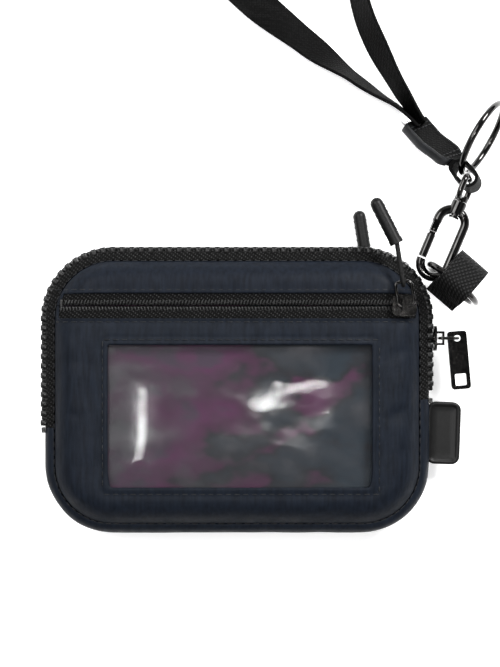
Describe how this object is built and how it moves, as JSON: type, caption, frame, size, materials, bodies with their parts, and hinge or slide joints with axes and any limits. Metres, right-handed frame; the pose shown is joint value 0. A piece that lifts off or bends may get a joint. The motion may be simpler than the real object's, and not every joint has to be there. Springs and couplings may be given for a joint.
{
  "type": "zippered pouch",
  "caption": "Small zippered pouch with a clear card window, front and back zip pockets, a tether ring, snap hook, key ring and a webbing wrist strap.",
  "frame": {"origin": "middle of the back face that the pouch rests on", "axes": "+Z out of the window side, +Y to the zipped top edge, +X to the side with the puller and the tether"},
  "size_m": [0.167, 0.2554, 0.0297],
  "materials": {
    "nylon": "woven nylon, crinkled, satin",
    "lining": "plain woven lining",
    "clear_film": "clear vinyl",
    "zip_tape": "herringbone woven tape",
    "zip_coil": "moulded, satin",
    "gunmetal": "polished gunmetal",
    "pull_rubber": "moulded rubber, satin",
    "cord": "braided cord",
    "webbing": "ribbed webbing"
  },
  "bodies": {
    "pouch": {"front_upper_panel": "nylon", "front_lower_panel": "nylon", "back_upper_panel": "nylon", "back_lower_panel": "nylon", "bottom_gusset": "nylon", "card_pocket_backing": "lining", "front_pocket_lining": "lining", "back_pocket_lining": "lining", "main_lining_front": "lining", "main_lining_back": "lining", "window_film": "clear_film", "front_tape_upper": "zip_tape", "front_tape_lower": "zip_tape", "back_tape_upper": "zip_tape", "back_tape_lower": "zip_tape", "main_tape_front": "zip_tape", "main_tape_back": "zip_tape", "front_coil_upper": "zip_coil", "front_coil_lower": "zip_coil", "back_coil_upper": "zip_coil", "back_coil_lower": "zip_coil", "main_teeth_front": "zip_coil", "main_teeth_back": "zip_coil", "front_zip_stops": "zip_coil", "back_zip_stops": "zip_coil", "main_zip_stops": "zip_coil", "rubber_tag": "pull_rubber", "ribbon_loop": "webbing"},
    "front_slider_body": {"front_slider": "gunmetal"},
    "front_pull": {"front_bail": "gunmetal", "front_pull_cord": "cord", "front_pull_tip": "pull_rubber"},
    "back_slider_body": {"back_slider": "gunmetal"},
    "back_pull": {"back_bail": "gunmetal", "back_pull_cord": "cord", "back_pull_tip": "pull_rubber"},
    "main_slider_body": {"main_slider": "gunmetal"},
    "main_bail_body": {"main_bail": "gunmetal"},
    "main_puller": {"main_pull_plate": "gunmetal"},
    "ring": {"tether_ring": "gunmetal"},
    "hook": {"hook_body": "gunmetal", "gate_rivet": "gunmetal"},
    "gate": {"hook_gate": "gunmetal"},
    "swivel": {"swivel_eye": "gunmetal"},
    "strap": {"strap_tab": "webbing", "wrist_strap": "webbing"},
    "keys_ring": {"key_ring": "gunmetal"}
  },
  "joints": [
    {"name": "front_zip_slide", "type": "slide", "parent": "pouch", "child": "front_slider_body", "axis": [1, 0, 0], "range_m": [-0.112, 0]},
    {"name": "front_pull_swing", "type": "hinge", "parent": "front_slider_body", "child": "front_pull", "pos_m": [0.0595, 0.0307, 0.0245], "axis": [0.9877, 0.1564, 0], "range_deg": [0, 140]},
    {"name": "back_zip_slide", "type": "slide", "parent": "pouch", "child": "back_slider_body", "axis": [1, 0, 0], "range_m": [-0.101, 0.0095]},
    {"name": "back_pull_swing", "type": "hinge", "parent": "back_slider_body", "child": "back_pull", "pos_m": [0.048, 0.0307, 0.0025], "axis": [-0.9986, -0.0523, 0], "range_deg": [0, 130]},
    {"name": "main_zip_slide", "type": "slide", "parent": "pouch", "child": "main_slider_body", "axis": [0, 1, 0], "range_m": [-0.012, 0.0015]},
    {"name": "main_bail_swing", "type": "hinge", "parent": "main_slider_body", "child": "main_bail_body", "pos_m": [0.07255, 0.0192, 0.011], "axis": [0, 0, 1], "range_deg": [-8, 28]},
    {"name": "main_puller_swing", "type": "hinge", "parent": "main_bail_body", "child": "main_puller", "pos_m": [0.07905, 0.0192, 0.011], "axis": [0, 0, 1], "range_deg": [-8, 120]},
    {"name": "ring_swing", "type": "hinge", "parent": "pouch", "child": "ring", "pos_m": [0.07677, 0.03862, 0.0264], "axis": [0.7567, -0.6537, 0], "range_deg": [-2, 40]},
    {"name": "hook_swing", "type": "hinge", "parent": "ring", "child": "hook", "pos_m": [0.06875, 0.04555, 0.0158], "axis": [0, 0, 1], "range_deg": [-9, 8]},
    {"name": "gate_open", "type": "hinge", "parent": "hook", "child": "gate", "pos_m": [0.07027, 0.05859, 0.0158], "axis": [0, 0, 1], "range_deg": [0, 20], "stiffness_Nm_per_rad": 0.01, "springref_deg": -11.46},
    {"name": "hook_swivel", "type": "hinge", "parent": "hook", "child": "swivel", "pos_m": [0.06986, 0.04508, 0.0158], "axis": [0.3907, 0.9205, 0], "continuous": true},
    {"name": "tab_swing", "type": "hinge", "parent": "swivel", "child": "strap", "pos_m": [0.08283, 0.07564, 0.0158], "axis": [-0.2795, 0.1186, 0.9528], "range_deg": [-15, 15]},
    {"name": "key_ring_swing", "type": "hinge", "parent": "strap", "child": "keys_ring", "pos_m": [0.08043, 0.07866, 0.01472], "axis": [-0.2795, 0.1186, 0.9528], "range_deg": [-40, 60]}
  ]
}
